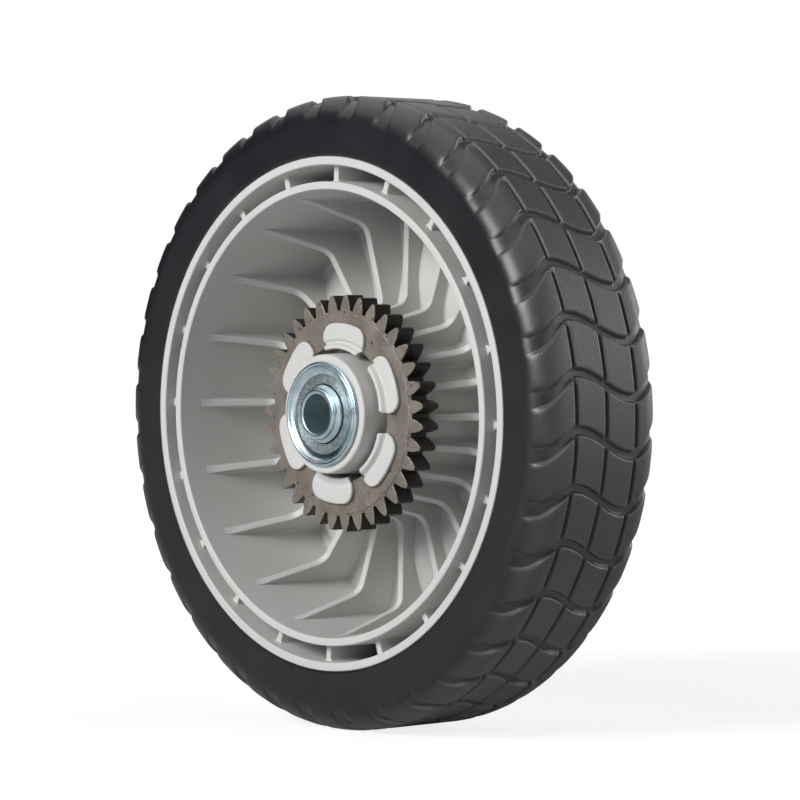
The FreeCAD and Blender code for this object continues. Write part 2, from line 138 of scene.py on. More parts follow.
# Studio in metres and watts: lamps as place, size and power, dark cards as angles and heights.
LAMPS = [
    ("key", (0.05, -1.6, 0.72), (0.8, 0.8), 31.0),
    ("side", (1.5, 0.5, 0.3), (0.6, 1.0), 5.0),
    ("top", (0.1, 0.2, 1.7), (1.2, 1.2), 2.0),
    ("back", (0.5, 1.7, 0.5), (0.8, 0.8), 11.0),
]
AMBIENT = 0.035
CARD_RADIUS = 2.6
DARK_CARDS = [(-115, 12, -0.1, 1.9), (42, 85, -0.1, 1.9), (148, 215, 1.1, 3.6)]
FLOOR_LEVEL = -TYRE_RADIUS * MILLIMETRE
FLOOR_REACH = 30
GREY_FLOOR_REACH = 1.2

# Camera, fitted to the photograph, in radians, millimetres and pixels of its 800 pixel picture.
CAMERA_AZIMUTH = 0.825118656
CAMERA_ELEVATION = 0.02887955
CAMERA_DISTANCE = 1200
CAMERA_RIGHT = -24.649295
CAMERA_UP = -4.45620721
FOCAL_PIXELS = 3769.13458
PICTURE_PIXELS = 800


def smooth_max(a, b, reach):
    """The larger of two heights, with the corner between them rounded over a reach."""
    return np.maximum(a, b) + np.maximum(reach - np.abs(a - b), 0) ** 2 / (4 * reach)


def smooth_min(a, b, reach):
    """The smaller of two heights, with the corner between them rounded over a reach."""
    return -smooth_max(-a, -b, reach)


def ramp(low, high, x):
    """0 below low, 1 above high, and an S-curve between them."""
    t = np.clip((x - low) / (high - low), 0, 1)
    return t * t * (3 - 2 * t)


def mirrored(offsets):
    """The offsets on both sides of zero, in rising order, with zero itself."""
    offsets = np.asarray(offsets, float)
    return np.concatenate([-offsets[::-1], [0], offsets])


def rounded(corners, steps=5):
    """A closed outline whose corners (x, y, radius) are replaced by arcs.

    Each arc touches both sides, at radius / tan(half the corner's angle) from the corner,
    and its points turn evenly from one side to the other. A radius of 0 keeps the corner.
    """
    corners = np.array(corners, float)
    here, radius = corners[:, :2], corners[:, 2:]
    back = np.roll(here, 1, 0) - here
    ahead = np.roll(here, -1, 0) - here
    back /= np.linalg.norm(back, axis=1, keepdims=True)
    ahead /= np.linalg.norm(ahead, axis=1, keepdims=True)
    half = np.arccos(np.clip((back * ahead).sum(1, keepdims=True), -1, 1)) / 2
    half = np.clip(half, 1e-3, np.pi / 2 - 1e-6)
    middle = back + ahead
    middle /= np.maximum(np.linalg.norm(middle, axis=1, keepdims=True), 1e-9)
    centre = here + middle * radius / np.sin(half)
    first = here + back * radius / np.tan(half) - centre
    last = here + ahead * radius / np.tan(half) - centre
    swing = (np.pi - 2 * half)[:, None]
    share = np.linspace(0, 1, steps + 1)[None, :, None]
    arcs = np.sin((1 - share) * swing) * first[:, None] + np.sin(share * swing) * last[:, None]
    points = (centre[:, None] + arcs / np.maximum(np.sin(swing), 1e-9)).reshape(-1, 2)
    moved = np.linalg.norm(points - np.roll(points, 1, 0), axis=1) > 1e-4
    return points[moved]


def polar_points(radius, angle, along):
    """Points at a radius and an angle round the axle and at a place along it."""
    radius, angle, along = np.broadcast_arrays(radius, angle, along)
    return np.stack([radius * np.cos(angle), along, radius * np.sin(angle)], -1)


def quads_of(rows, columns, close_rows):
    """Corner numbers of the quads of a grid whose columns close, and whose rows may close."""
    row = np.arange(rows if close_rows else rows - 1)[:, None]
    column = np.arange(columns)[None, :]
    after = (column + 1) % columns
    below = (row + 1) % rows
    corners = [
        row * columns + column, row * columns + after,
        below * columns + after, below * columns + column,
    ]
    return np.stack(np.broadcast_arrays(*corners), -1).reshape(-1, 4)


def split(quads):
    """Two triangles for each quad."""
    return np.concatenate([quads[:, [0, 1, 2]], quads[:, [0, 2, 3]]])


def outward(points, quads, triangles, shade):
    """The surface with its faces pointing out: turned round if the volume inside is negative."""
    a, b, c = (points[corner] for corner in np.concatenate([split(quads), triangles]).T)
    if np.einsum("ij,ij->", a, np.cross(b, c)) < 0:
        quads, triangles = quads[:, ::-1], triangles[:, ::-1]
    return points, quads, triangles, shade


def ring_surface(grid, shade=0.0):
    """Closed surface of a grid of points that closes both ways, like a ring."""
    rows, columns = grid.shape[:2]
    shade = np.broadcast_to(shade, (rows, columns)).reshape(-1)
    no_triangles = np.zeros((0, 3), int)
    return outward(grid.reshape(-1, 3), quads_of(rows, columns, True), no_triangles, shade)


def capped_surface(grid):
    """Closed surface of a grid whose columns close, with a fan over its first and its last row."""
    rows, columns = grid.shape[:2]
    poles = np.stack([grid[0].mean(0), grid[-1].mean(0)])
    points = np.concatenate([grid.reshape(-1, 3), poles])
    here = np.arange(columns)
    after = (here + 1) % columns
    last = (rows - 1) * columns
    first_fan = np.stack([after, here, np.full(columns, rows * columns)], -1)
    last_fan = np.stack([last + here, last + after, np.full(columns, rows * columns + 1)], -1)
    fans = np.concatenate([first_fan, last_fan])
    return outward(points, quads_of(rows, columns, False), fans, np.zeros(len(points)))


def turned(profile, count):
    """A closed profile (radius, along) turned once round the axle."""
    angle = np.arange(count) * TURN / count
    return ring_surface(polar_points(profile[:, :1], angle[None, :], profile[:, 1:]))


def round_the_axle(surface, angle):
    """A surface turned about the axle by an angle in radians, from X to Z."""
    points, quads, triangles, shade = surface
    x, y, z = points.T
    cosine, sine = np.cos(angle), np.sin(angle)
    points = np.stack([x * cosine - z * sine, y, x * sine + z * cosine], -1)
    return points, quads, triangles, shade


def piece(name, surfaces, material, body, slot, *nodes):
    """One object from closed surfaces, which rides on a body and stands for CAD nodes.

    A vertex normal is the sum of the area vectors of its faces, so that wide faces stay flat
    and the narrow ones at an edge take the turn. The surfaces' shade becomes an attribute.
    """
    starts = np.cumsum([0] + [len(surface[0]) for surface in surfaces])
    points = np.concatenate([surface[0] for surface in surfaces])
    quads = np.concatenate([surface[1] + start for surface, start in zip(surfaces, starts)])
    triangles = np.concatenate([surface[2] + start for surface, start in zip(surfaces, starts)])
    shade = np.concatenate([surface[3] for surface in surfaces])
    mesh = bpy.data.meshes.new(name)
    mesh.from_pydata((points * MILLIMETRE).tolist(), [], quads.tolist() + triangles.tolist())
    mesh.polygons.foreach_set("use_smooth", np.ones(len(mesh.polygons), bool))
    corners = np.concatenate([split(quads), triangles])
    a, b, c = (points[corner] for corner in corners.T)
    areas = np.cross(b - a, c - a)
    normals = np.zeros_like(points)
    for corner in corners.T:
        np.add.at(normals, corner, areas)
    normals /= np.maximum(np.linalg.norm(normals, axis=1, keepdims=True), 1e-12)
    mesh.normals_split_custom_set_from_vertices(normals.tolist())
    attribute = mesh.attributes.new("shade", "FLOAT", "POINT")
    attribute.data.foreach_set("value", shade.astype(np.float32))
    mesh.materials.append(material)
    made = bpy.data.objects.new(name, mesh)
    bpy.context.scene.collection.objects.link(made)
    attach(made, body)
    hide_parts(*nodes)


class Wire:
    """A socket of a material's nodes, with arithmetic that adds Math nodes."""

    def __init__(self, tree, socket=None):
        self.tree = tree
        self.socket = socket

    def node(self, kind, settings=None, output=0, **inputs):
        """Any node: its settings first, then values or wires for its sockets.

        A socket is given by its name, with _ for a space, or by s and its number.
        """
        node = self.tree.nodes.new(kind)
        for key, setting in (settings or {}).items():
            setattr(node, key, setting)
        for key, content in inputs.items():
            name = key.replace("_", " ")
            socket = node.inputs[int(name[1:])] if name[1:].isdigit() else node.inputs[name]
            if isinstance(content, Wire):
                self.tree.links.new(content.socket, socket)
            else:
                socket.default_value = content
        return Wire(self.tree, node.outputs[output]) if len(node.outputs) else node

    def math(self, operation, first, second=0.0):
        """A Math node on two values or wires."""
        return self.node("ShaderNodeMath", {"operation": operation}, s0=first, s1=second)

    def __add__(self, other):
        return self.math("ADD", self, other)

    def __radd__(self, other):
        return self.math("ADD", other, self)

    def __sub__(self, other):
        return self.math("SUBTRACT", self, other)

    def __rsub__(self, other):
        return self.math("SUBTRACT", other, self)

    def __mul__(self, other):
        return self.math("MULTIPLY", self, other)

    def __rmul__(self, other):
        return self.math("MULTIPLY", other, self)

    def step(self, low, high):
        """0 below low, 1 above high, with a soft step between them."""
        return self.node(
            "ShaderNodeMapRange", {"interpolation_type": "SMOOTHSTEP"},
            Value=self, From_Min=low, From_Max=high)

    def blend(self, first, second):
        """Two colours mixed by this wire: the first at 0 and the second at 1."""
        return self.node(
            "ShaderNodeMix", {"data_type": "RGBA"}, output=2, s0=self, s6=first, s7=second)


def shader_tree(name):
    """A new material, its nodes as a wire, and its object coordinates in metres."""
    material = bpy.data.materials.new(name)
    material.use_nodes = True
    material.node_tree.nodes.clear()
    nodes = Wire(material.node_tree)
    return material, nodes, nodes.node("ShaderNodeTexCoord", output=3)


def noise(nodes, place, scale, detail=3.0, roughness=0.55):
    """Cloud noise from 0 to 1, with this many waves to a metre."""
    return nodes.node(
        "ShaderNodeTexNoise", Vector=place, Scale=scale, Detail=detail, Roughness=roughness)


def finish(nodes, colour, roughness, bump=None, bump_depth=0.0, **constants):
    """The surface shader and the material's output, with an optional bump of a depth in metres."""
    inputs = {"Base_Color": colour, "Roughness": roughness, **constants}
    if bump is not None:
        inputs["Normal"] = nodes.node(
            "ShaderNodeBump", Height=bump, Distance=bump_depth, Strength=1.0)
    shader = nodes.node("ShaderNodeBsdfPrincipled", **inputs)
    nodes.node("ShaderNodeOutputMaterial", Surface=shader)


def from_axle(nodes, place):
    """Distance of a point from the axle's line, in metres."""
    flat = nodes.node("ShaderNodeVectorMath", {"operation": "MULTIPLY"}, s0=place, s1=(1, 0, 1))
    return nodes.node("ShaderNodeVectorMath", {"operation": "LENGTH"}, output=1, s0=flat)


def rubber():
    """Moulded black rubber: smooth dark sides, a greyer grained tread whose lighter colour is partly
    a painted sheen, and block edges painted paler by shade as painted highlights.
    """
    material, nodes, place = shader_tree("rubber")
    shade = nodes.node("ShaderNodeAttribute", {"attribute_name": "shade"}, output=2)
    cloud = noise(nodes, place, 60, 5)
    grain = noise(nodes, place, 1800, 2)
    tread = from_axle(nodes, place).step(0.0952, 0.1008)
    side = cloud.step(0.3, 0.7).blend((0.0088, 0.0095, 0.0118, 1), (0.0125, 0.0131, 0.0157, 1))
    # The tread's greyer colour is partly its grain and partly a painted sheen.
    tread_grain_and_sheen = (cloud * 0.5 + grain * 0.5).step(0.3, 0.7).blend(
        (0.041, 0.0418, 0.0466, 1), (0.0575, 0.0584, 0.0642, 1))
    colour = tread.blend(side, tread_grain_and_sheen)
    # Painted highlights: where shade marks a block edge, the colour turns paler grey.
    colour = (shade * 0.7).blend(colour, (0.12, 0.12, 0.125, 1))
    roughness = 0.28 + 0.12 * tread + 0.1 * cloud
    bump = grain * (0.25 + 0.75 * tread) + cloud * 0.5
    finish(nodes, colour, roughness, bump, 0.00012, Specular_IOR_Level=0.45)
    return material


def plastic():
    """Pale grey moulded plastic: faint flow clouds and a fine satin texture."""
    material, nodes, place = shader_tree("grey_plastic")
    cloud = noise(nodes, place, 25, 4)
    grain = noise(nodes, place, 2400, 2)
    colour = cloud.step(0.3, 0.7).blend((0.59, 0.59, 0.575, 1), (0.62, 0.62, 0.606, 1))
    finish(nodes, colour, 0.4 + 0.1 * cloud + 0.05 * grain, grain, 0.00004)
    return material


def sintered_steel():
    """Grey-brown pressed steel: blotched tint, fine grain and dark pores.

    The shade attribute is above 0 on flanks with grease and below 0 on rounded edges, where bright
    metal is painted on as painted glints.
    """
    material, nodes, place = shader_tree("sintered_steel")
    shade = nodes.node("ShaderNodeAttribute", {"attribute_name": "shade"}, output=2)
    cloud = noise(nodes, place, 150, 6, 0.65)
    stain = noise(nodes, place, 420, 4, 0.6)
    grain = noise(nodes, place, 2600, 3, 0.65)
    seeds = nodes.node("ShaderNodeTexVoronoi", {"feature": "F1"}, Vector=place, Scale=330.0)
    few = noise(nodes, place, 210, 2).step(0.44, 0.54)
    pits = (1 - seeds.step(0.1, 0.26)) * few
    tint = cloud.step(0.33, 0.67).blend((0.125, 0.104, 0.084, 1), (0.215, 0.191, 0.165, 1))
    tint = (stain.step(0.5, 0.72) * 0.55).blend(tint, (0.13, 0.098, 0.074, 1))
    colour = (grain.step(0.38, 0.72) * 0.6).blend(tint, (0.3, 0.27, 0.235, 1))
    colour = (pits * 0.85).blend(colour, (0.045, 0.032, 0.026, 1))
    grease = (shade + cloud * 0.4 - 0.2).step(0.35, 0.75)
    colour = grease.blend(colour, (0.022, 0.02, 0.018, 1))
    # Painted glints: pale bright metal on the rounded edges, where shade is below 0.
    edge_glints = (shade * -1).step(0.35, 0.95) * grain.step(0.3, 0.6) * stain.step(0.42, 0.6)
    colour = edge_glints.blend(colour, (0.58, 0.54, 0.49, 1))
    roughness = 0.58 + 0.12 * grain - 0.2 * grease - 0.2 * edge_glints
    metallic = 0.3 + 0.5 * edge_glints
    finish(nodes, colour, roughness, grain * 0.6 - pits, 0.00016, Metallic=metallic)
    return material


def zinc_plate():
    """Bright bluish zinc plate with faint cloudy patches, darker inside the bore and tinted greener
    there as a painted reflection.
    """
    material, nodes, place = shader_tree("zinc_plate")
    cloud = noise(nodes, place, 260, 4)
    fine = noise(nodes, place, 2600, 2)
    bore = 1 - from_axle(nodes, place).step(0.00645, 0.0067)
    colour = cloud.step(0.3, 0.7).blend((0.42, 0.54, 0.6, 1), (0.63, 0.73, 0.77, 1))
    # Painted reflection: the bore is tinted teal-green.
    colour = bore.blend(colour, (0.52, 0.68, 0.72, 1))
    finish(nodes, colour, 0.19 + 0.08 * cloud + 0.05 * fine + 0.14 * bore, Metallic=1.0)
    return material


def dull_zinc():
    """Dull plate of the pressed shield: fine turned rings and crystals of a quarter millimetre."""
    ring_pitch = 0.00022
    material, nodes, place = shader_tree("dull_zinc")
    speck = nodes.node(
        "ShaderNodeTexVoronoi", {"feature": "F1"}, output=1, Vector=place, Scale=4200.0)
    bright = nodes.node("ShaderNodeSeparateColor", output=0, s0=speck)
    cloud = noise(nodes, place, 700, 4)
    rings = nodes.math("SINE", from_axle(nodes, place) * (TURN / ring_pitch))
    colour = (bright * 0.6 + cloud * 0.6).step(0.3, 1.0).blend(
        (0.17, 0.21, 0.225, 1), (0.5, 0.57, 0.59, 1))
    roughness = 0.3 + 0.15 * bright + 0.1 * cloud
    finish(nodes, colour, roughness, bright * 0.5 + rings, 0.000016, Metallic=0.95)
    return material


def ball_steel():
    """Polished steel with a faint film of grease."""
    material, nodes, place = shader_tree("ball_steel")
    film = noise(nodes, place, 500, 3)
    colour = film.step(0.4, 0.7).blend((0.6, 0.6, 0.6, 1), (0.42, 0.4, 0.36, 1))
    finish(nodes, colour, 0.1 + 0.2 * film, Metallic=1.0)
    return material


def groove_depth(distance, top, floor, depth, edge, corner):
    """Depth of a groove at a distance from its middle: sloping walls, rounded edges and corners."""
    wall = depth * (top / 2 - distance) / (top / 2 - floor / 2)
    return smooth_min(smooth_max(wall, 0, edge), depth, corner)


def wave_lean(along):
    """Shift of a wave round the tread: a sine between its crests, a shorter one outside them."""
    crest = WAVE_LENGTH / 4
    middle = np.sin(TURN * along / WAVE_LENGTH)
    outside = np.sign(along) * np.cos(TURN * (np.abs(along) - crest) / WAVE_END_LENGTH)
    return -WAVE_HEIGHT * np.where(np.abs(along) < crest, middle, outside)


def tyre_section():
    """Smooth section of the tyre from bead to bead, as (radius, along), with its outward normals.

    Bead corner, flat side, quarter circle of the shoulder, level crown with rows close together at
    the ring grooves, and the same back on the other side.
    """
    bead_corner, skin = 0.7, 0.02
    low_side = np.linspace(SEAT_RADIUS + 1.95, TYRE_RADIUS - SHOULDER, 6)
    side = np.concatenate([[SEAT_RADIUS + 0.25, SEAT_RADIUS + bead_corner], low_side])
    bend = np.radians(np.linspace(0, 90, 18)[1:])
    bend_radius = TYRE_RADIUS - SHOULDER + SHOULDER * np.sin(bend)
    bend_along = TYRE_HALF - SHOULDER + SHOULDER * np.cos(bend)
    bead = np.array([
        [SEAT_RADIUS, bead_corner - TYRE_HALF],
        [SEAT_RADIUS + 0.07, 0.25 - TYRE_HALF],
    ])
    half_side = np.concatenate([
        bead,
        np.stack([side, np.full_like(side, -TYRE_HALF)], -1),
        np.stack([bend_radius, -bend_along], -1),
    ])
    half_side[len(bead), 1] = 0.07 - TYRE_HALF
    half_normal = np.concatenate([
        np.tile([0.0, -1.0], (len(bead) + len(side), 1)),
        np.stack([np.sin(bend), -np.cos(bend)], -1),
    ])
    near_ring = mirrored([0.35, 0.6, 0.85, 1.1, 1.4, 1.8])
    rings = [near_ring + place * RING_PITCH for place in (-1, 0, 1)]
    between = np.array([-15.2, -9.8, -8, -5, -3.2, 3.2, 5, 8, 9.8, 15.2])
    crown = np.sort(np.concatenate([*rings, between]))
    flip = np.array([1, -1])
    section = np.concatenate([
        half_side,
        np.stack([np.full_like(crown, TYRE_RADIUS), crown], -1),
        half_side[::-1] * flip,
    ])
    section[:, 0] = np.minimum(section[:, 0], TYRE_RADIUS - skin)
    normal = np.concatenate([
        half_normal, np.tile([1.0, 0.0], (len(crown), 1)), half_normal[::-1] * flip])
    return section, normal


def tyre_surface():
    """Tyre as a grid: rows follow the section from bead to bead, and columns follow the waves.

    A point starts on the smooth section and sinks along the section's normal by the depth of the
    grooves. A wave's column lies at its angle plus the wave's lean, and the floor of a wave groove
    is an arc of its own, which runs out at the side. The shade marks the rounded block edges,
    which the rubber paints paler as painted highlights.
    """
    section, normal = tyre_section()
    radius, along = section.T
    edge = TYRE_HALF - SHOULDER
    on_crown = np.abs(along) < edge

    beyond = np.maximum(np.abs(along) - edge, 0)
    floor_centre = TYRE_RADIUS - TREAD_DEPTH - WAVE_END_ARC
    floor = floor_centre + np.sqrt(np.maximum(WAVE_END_ARC ** 2 - beyond ** 2, 0))
    limit = np.maximum((radius - floor) * normal[:, 0], 0) * (radius > TYRE_RADIUS - SHOULDER)
    ring_distance = np.min([np.abs(along - place * RING_PITCH) for place in (-1, 0, 1)], axis=0)
    ring = groove_depth(ring_distance, RING_TOP, RING_FLOOR, RING_DEPTH, RING_EDGE, RING_EDGE)
    ring = ring * on_crown

    pitch = TURN * TYRE_RADIUS / WAVE_COUNT
    offset = mirrored([0.7, 1.05, 1.3, 1.5, 1.7, 1.95, 2.2, 2.5, 2.85, 3.4, 4.6, 6.5])
    offset = np.append(offset, pitch / 2)
    start = WAVE_PHASE * TURN / 360 + np.arange(WAVE_COUNT) * TURN / WAVE_COUNT
    column = (start[:, None] + offset / TYRE_RADIUS).reshape(-1)
    distance = np.tile(np.abs(offset), WAVE_COUNT)
    top = (WAVE_TOP + WAVE_END_WIDER * ramp(WAVE_LENGTH / 4, edge, np.abs(along)))[:, None]
    soft = WAVE_END_SOFT * ramp(edge, edge + SHOULDER / 2, np.abs(along))[:, None]
    wave = groove_depth(
        distance[None, :], top + soft, top - WAVE_WALLS, TREAD_DEPTH,
        BLOCK_EDGE + soft, GROOVE_CORNER)
    run_out, end_corner = limit[:, None], 0.3
    cut = smooth_min(wave, run_out, end_corner)
    cut = np.where(run_out > end_corner, cut, np.minimum(wave, run_out))
    depth = np.maximum(cut, ring[:, None])

    angle = column[None, :] + wave_lean(along)[:, None] / TYRE_RADIUS
    sunk = section[:, None, :] - depth[..., None] * normal[:, None, :]
    # Lines along the groove edges, which the rubber paints as painted highlights.
    wave_line, ring_line = 0.3, 0.25
    wave_edge_highlight = np.exp(-((distance[None, :] - top / 2) / wave_line) ** 2)
    wave_edge_highlight = wave_edge_highlight * ramp(0.1, 0.8, limit)[:, None] * (1 - soft / 2)
    ring_edge_highlight = np.exp(-((ring_distance - RING_TOP / 2) / ring_line) ** 2) * on_crown
    shade = np.maximum(wave_edge_highlight, ring_edge_highlight[:, None] * (cut < end_corner))
    return ring_surface(polar_points(sunk[..., 0], angle, sunk[..., 1]), shade)


def dish(radius):
    """Place of the arched floor: an arc from the drum's corner, with its crest nearer the hub."""
    drop = np.sqrt(FLOOR_ARCH ** 2 - (FLOOR_EDGE - FLOOR_CREST) ** 2)
    return FLOOR_FRONT + drop - np.sqrt(FLOOR_ARCH ** 2 - (radius - FLOOR_CREST) ** 2)


def pocket(radius):
    """Place of the floor in a pocket: an arc, level at the drum, where it lies behind the dish."""
    level = FLOOR_FRONT - POCKET_ARCH + np.sqrt(POCKET_ARCH ** 2 - (FLOOR_EDGE - radius) ** 2)
    return np.maximum(level, dish(radius))


def rim_section():
    """Turned section of the rim: ring, channel, drum, arched floor, barrel, hub, edges rounded."""
    radius = np.linspace(FLOOR_EDGE, FLOOR_INNER, 18)
    floor = [(r, y, 0) for r, y in zip(radius, dish(radius))]
    floor[0] = (*floor[0][:2], 2)
    floor[-1] = (*floor[-1][:2], 1)
    under = [(r, y + WALL, 0) for r, y in zip(radius[::-1], dish(radius[::-1]))]
    inner = dish(FLOOR_INNER)
    return rounded([
        (RIM_RADIUS, FRONT, 0.5),
        (RING_INNER, FRONT, 0.6),
        (RING_INNER - 0.5, CHANNEL_FLOOR, 1.5),
        (DRUM_OUTER + 0.5, CHANNEL_FLOOR, 1.5),
        (DRUM_OUTER, FRONT, 0.6),
        (DRUM_INNER, FRONT, 0.6),
        (DRUM_INNER - 0.2, FLOOR_FRONT, 1.6),
        *floor,
        (BARREL_ROOT, inner - WALL, 2),
        (BARREL_RADIUS, GEAR_BACK, 0.4),
        (HUB_RADIUS + 0.6, GEAR_BACK, 0.6),
        (HUB_RADIUS, -HUB_FACE, 0.8),
        (CUP_SEAT, -HUB_FACE, 0.25),
        (CUP_SEAT, -CUP_SEAT_END, 0.25),
        (AXLE_SPACE, -CUP_SEAT_END, 0.25),
        (AXLE_SPACE, CUP_SEAT_END, 0.25),
        (CUP_SEAT, CUP_SEAT_END, 0.25),
        (CUP_SEAT, HUB_FACE, 0.25),
        (HUB_RADIUS, HUB_FACE, 0.8),
        (HUB_RADIUS + 0.6, GEAR_BACK + WALL, 0.8),
        (BARREL_RADIUS - WALL, GEAR_BACK + WALL, 0.8),
        (BARREL_ROOT - WALL, inner + WALL, 0.8),
        *under,
        (DRUM_OUTER, FLOOR_FRONT + WALL, 1),
        (DRUM_OUTER, CHANNEL_FLOOR + WALL, 0.6),
        (RING_INNER, CHANNEL_FLOOR + WALL, 0.6),
        (RING_INNER, BACK, 0.6),
        (RIM_RADIUS, BACK, 0.5),
    ])


def rim_shell(count=260):
    """The rim's section turned round the axle, with pockets in the floor of every other two bays.

    Each rib lies midway between two columns of the grid, so a pocket's side walls are inside ribs.
    """
    turn = (np.arange(count) + 0.5) * 360 / count
    bay = np.floor(turn * RIB_COUNT / 360) % BAYS_IN_GROUP
    radius, along = rim_section().T
    on_floor = (radius > FLOOR_INNER) & (radius < FLOOR_EDGE) & (along > GEAR_BACK + 2 * WALL)
    within = np.clip(radius, FLOOR_INNER, FLOOR_EDGE)
    depth = np.where(on_floor, pocket(within) - dish(within), 0)
    set_back = depth[:, None] * ((bay == 1) | (bay == 2))[None, :]
    angle = np.radians(RIB_PHASE + turn)
    return ring_surface(polar_points(radius[:, None], angle[None, :], along[:, None] + set_back))


def bend_points(corner, before, after, count):
    """Arc that rounds a corner of the rib's free edge, from the side before to the side after it."""
    swing = np.arccos(np.clip(-before @ after, -1, 1))
    run = RIB_BEND * np.tan(swing / 2)
    first, last = corner + before * run, corner + after * run
    middle = (before + after) / np.linalg.norm(before + after)
    centre = corner + middle * np.hypot(run, RIB_BEND)
    share = np.linspace(0, 1, count)[:, None]
    arc = np.sin((1 - share) * swing) * (first - centre) + np.sin(share * swing) * (last - centre)
    return centre + arc / np.sin(swing)


def rib_surface(floor):
    """One rib on a floor: a profile with a flared foot and a rounded edge, from drum to barrel.

    Each station joins a foot on the wall, floor or barrel to a point of the free edge. Half the
    thickness grows by flare * (1 - sqrt(1 - (1 - share)^2)) near the foot, where share is the
    height over the flare, and falls on a quarter circle at the free edge.
    """
    on_drum, on_bend, on_shelf, on_barrel = 12, 9, 8, 6
    down = np.array([-np.sin(RIB_LEAN), np.cos(RIB_LEAN)])
    up = np.array([-np.sin(RIB_INNER_LEAN), -np.cos(RIB_INNER_LEAN)])
    level = np.array([-1.0, 0.0])
    outer = np.array([RIB_SHELF_OUTER, RIB_SHELF])
    inner = np.array([RIB_SHELF_INNER, RIB_SHELF])
    first_bend = bend_points(outer, -down, level, on_bend)
    second_bend = bend_points(inner, -level, up, on_bend)
    tip = outer - down * (RIB_SHELF - RIB_TIP + 1.6) / np.cos(RIB_LEAN)
    crest = inner + up * (RIB_SHELF - RIB_CREST) / np.cos(RIB_INNER_LEAN)
    free = np.concatenate([
        np.linspace(tip, first_bend[0], on_drum)[:-1], first_bend,
        np.linspace(first_bend[-1], second_bend[0], on_shelf)[1:-1], second_bend,
        np.linspace(second_bend[-1], crest, on_barrel)[1:],
    ])
    wall = np.stack([np.full(on_drum, DRUM_INNER - 0.1), free[:on_drum, 1]], -1)
    corner_radius = np.array([
        DRUM_INNER - 0.2, DRUM_INNER - 0.2, DRUM_INNER - 0.6, FLOOR_EDGE, 66.5, 64, 61.5])
    corner_along = np.array([15, 20.5, FLOOR_FRONT - 1.3, *floor(corner_radius[3:])])
    shelf = np.linspace(first_bend[-1, 0], second_bend[0, 0], on_shelf)
    root_radius = np.array([38.5, 36.2, 34, 32, 30.3, 28.9, 28.3])
    root_along = np.array([*floor(root_radius[:4]), 15.6, 13.4, 9.2])
    climb = np.linspace(second_bend[-1, 1], RIB_CREST, on_barrel)
    barrel_slope = (BARREL_ROOT - BARREL_RADIUS) / (dish(FLOOR_INNER) - WALL - GEAR_BACK)
    foot = np.concatenate([
        wall,
        np.stack([corner_radius, corner_along], -1),
        np.stack([shelf, floor(shelf)], -1),
        np.stack([root_radius, root_along], -1),
        np.stack([BARREL_RADIUS + barrel_slope * (climb - GEAR_BACK), climb], -1),
    ])
    count, sunk_height = len(foot), 0.02
    reach = np.linalg.norm(free - foot, axis=1)
    mid_bay = np.array([50.0, 0.0])
    inside = np.sign(((free - foot) * (mid_bay - foot)).sum(1))
    height = np.where(inside > 0, reach, sunk_height)
    towards = (free - foot) / np.maximum(reach, 1e-6)[:, None]
    towards[:on_drum] = level
    small = np.clip(height / 2.5, 0.02, 1)
    flare, edge = RIB_FLARE * small, RIB_EDGE * small
    foot_share = np.linspace(0, 1, 6)
    edge_share = np.radians(np.linspace(0, 90, 5))
    level_rows = np.concatenate([
        np.full((count, 1), -1.0), flare[:, None] * foot_share[None, :],
        (height - edge)[:, None] + edge[:, None] * np.sin(edge_share)[None, :],
    ], 1)
    half = RIB_THICKNESS / 2
    foot_flare = np.concatenate([[1], 1 - np.sqrt(1 - (1 - foot_share) ** 2)])
    sides = half + flare[:, None] * foot_flare[None, :]
    tops = half - edge[:, None] * (1 - np.cos(edge_share))[None, :]
    width = np.concatenate([sides, tops], 1)
    centre_line = foot[:, None, :] + level_rows[..., None] * towards[:, None, :]
    loop_line = np.concatenate([centre_line, centre_line[:, ::-1]], 1)
    loop_width = np.concatenate([width, -width[:, ::-1]], 1)
    grid = np.stack([loop_line[..., 0], loop_line[..., 1], loop_width], -1)
    return capped_surface(grid)


def web_surface():
    """One web of the channel: a slab with rounded top edges that flares at ring and drum."""
    edge = np.radians(np.linspace(0, 90, 5))
    half, foot = WEB_THICKNESS / 2, CHANNEL_FLOOR + 0.6
    across = np.concatenate([[half], half - WEB_EDGE + WEB_EDGE * np.cos(edge)])
    along = np.concatenate([[foot], WEB_TOP + WEB_EDGE - WEB_EDGE * np.sin(edge)])
    across = np.concatenate([across, -across[::-1]])
    along = np.concatenate([along, along[::-1]])
    path = np.array([73.3, 74.0, 74.15, 74.5, 75.0, 78.2, 78.7, 79.05, 79.2, 79.9])
    flare = np.array([0.8, 0.8, 0.45, 0.15, 0, 0, 0.15, 0.45, 0.8, 0.8])
    width = across[None, :] + np.sign(across)[None, :] * flare[:, None]
    grid = np.stack(np.broadcast_arrays(path[:, None], along[None, :], width), -1)
    return capped_surface(grid)


def lug_outline(count):
    """Bean outline of a lug's head, in evenly spaced points that start at its inner edge.

    An arc near the hub, a quarter ellipse in radius and angle at each end, and an outer arc.
    """
    crown, waist, narrow = np.radians([12, 22.5, 20.5])
    shoulder = 5.5
    inner = np.linspace(narrow, -narrow, 24)
    turn = np.radians(np.linspace(0, 90, 14))
    shoulder_radius = LUG_OUTER - shoulder + shoulder * np.sin(turn)
    shoulder_angle = waist - (waist - crown) * (1 - np.cos(turn))
    outer = np.linspace(-crown, crown, 16)[1:-1]
    radius = np.concatenate([
        np.full_like(inner, LUG_INNER), shoulder_radius,
        np.full_like(outer, LUG_OUTER), shoulder_radius[::-1],
    ])
    angle = np.concatenate([inner, -shoulder_angle, outer, shoulder_angle[::-1]])
    points = np.stack([radius * np.cos(angle), radius * np.sin(angle)], -1)
    lengths = np.linalg.norm(np.roll(points, -1, 0) - points, axis=1)
    travel = np.concatenate([[0], np.cumsum(lengths)])
    wanted = np.arange(count) * travel[-1] / count
    closed = np.concatenate([points, points[:1]])
    return np.stack([np.interp(wanted, travel, place) for place in closed.T], -1)


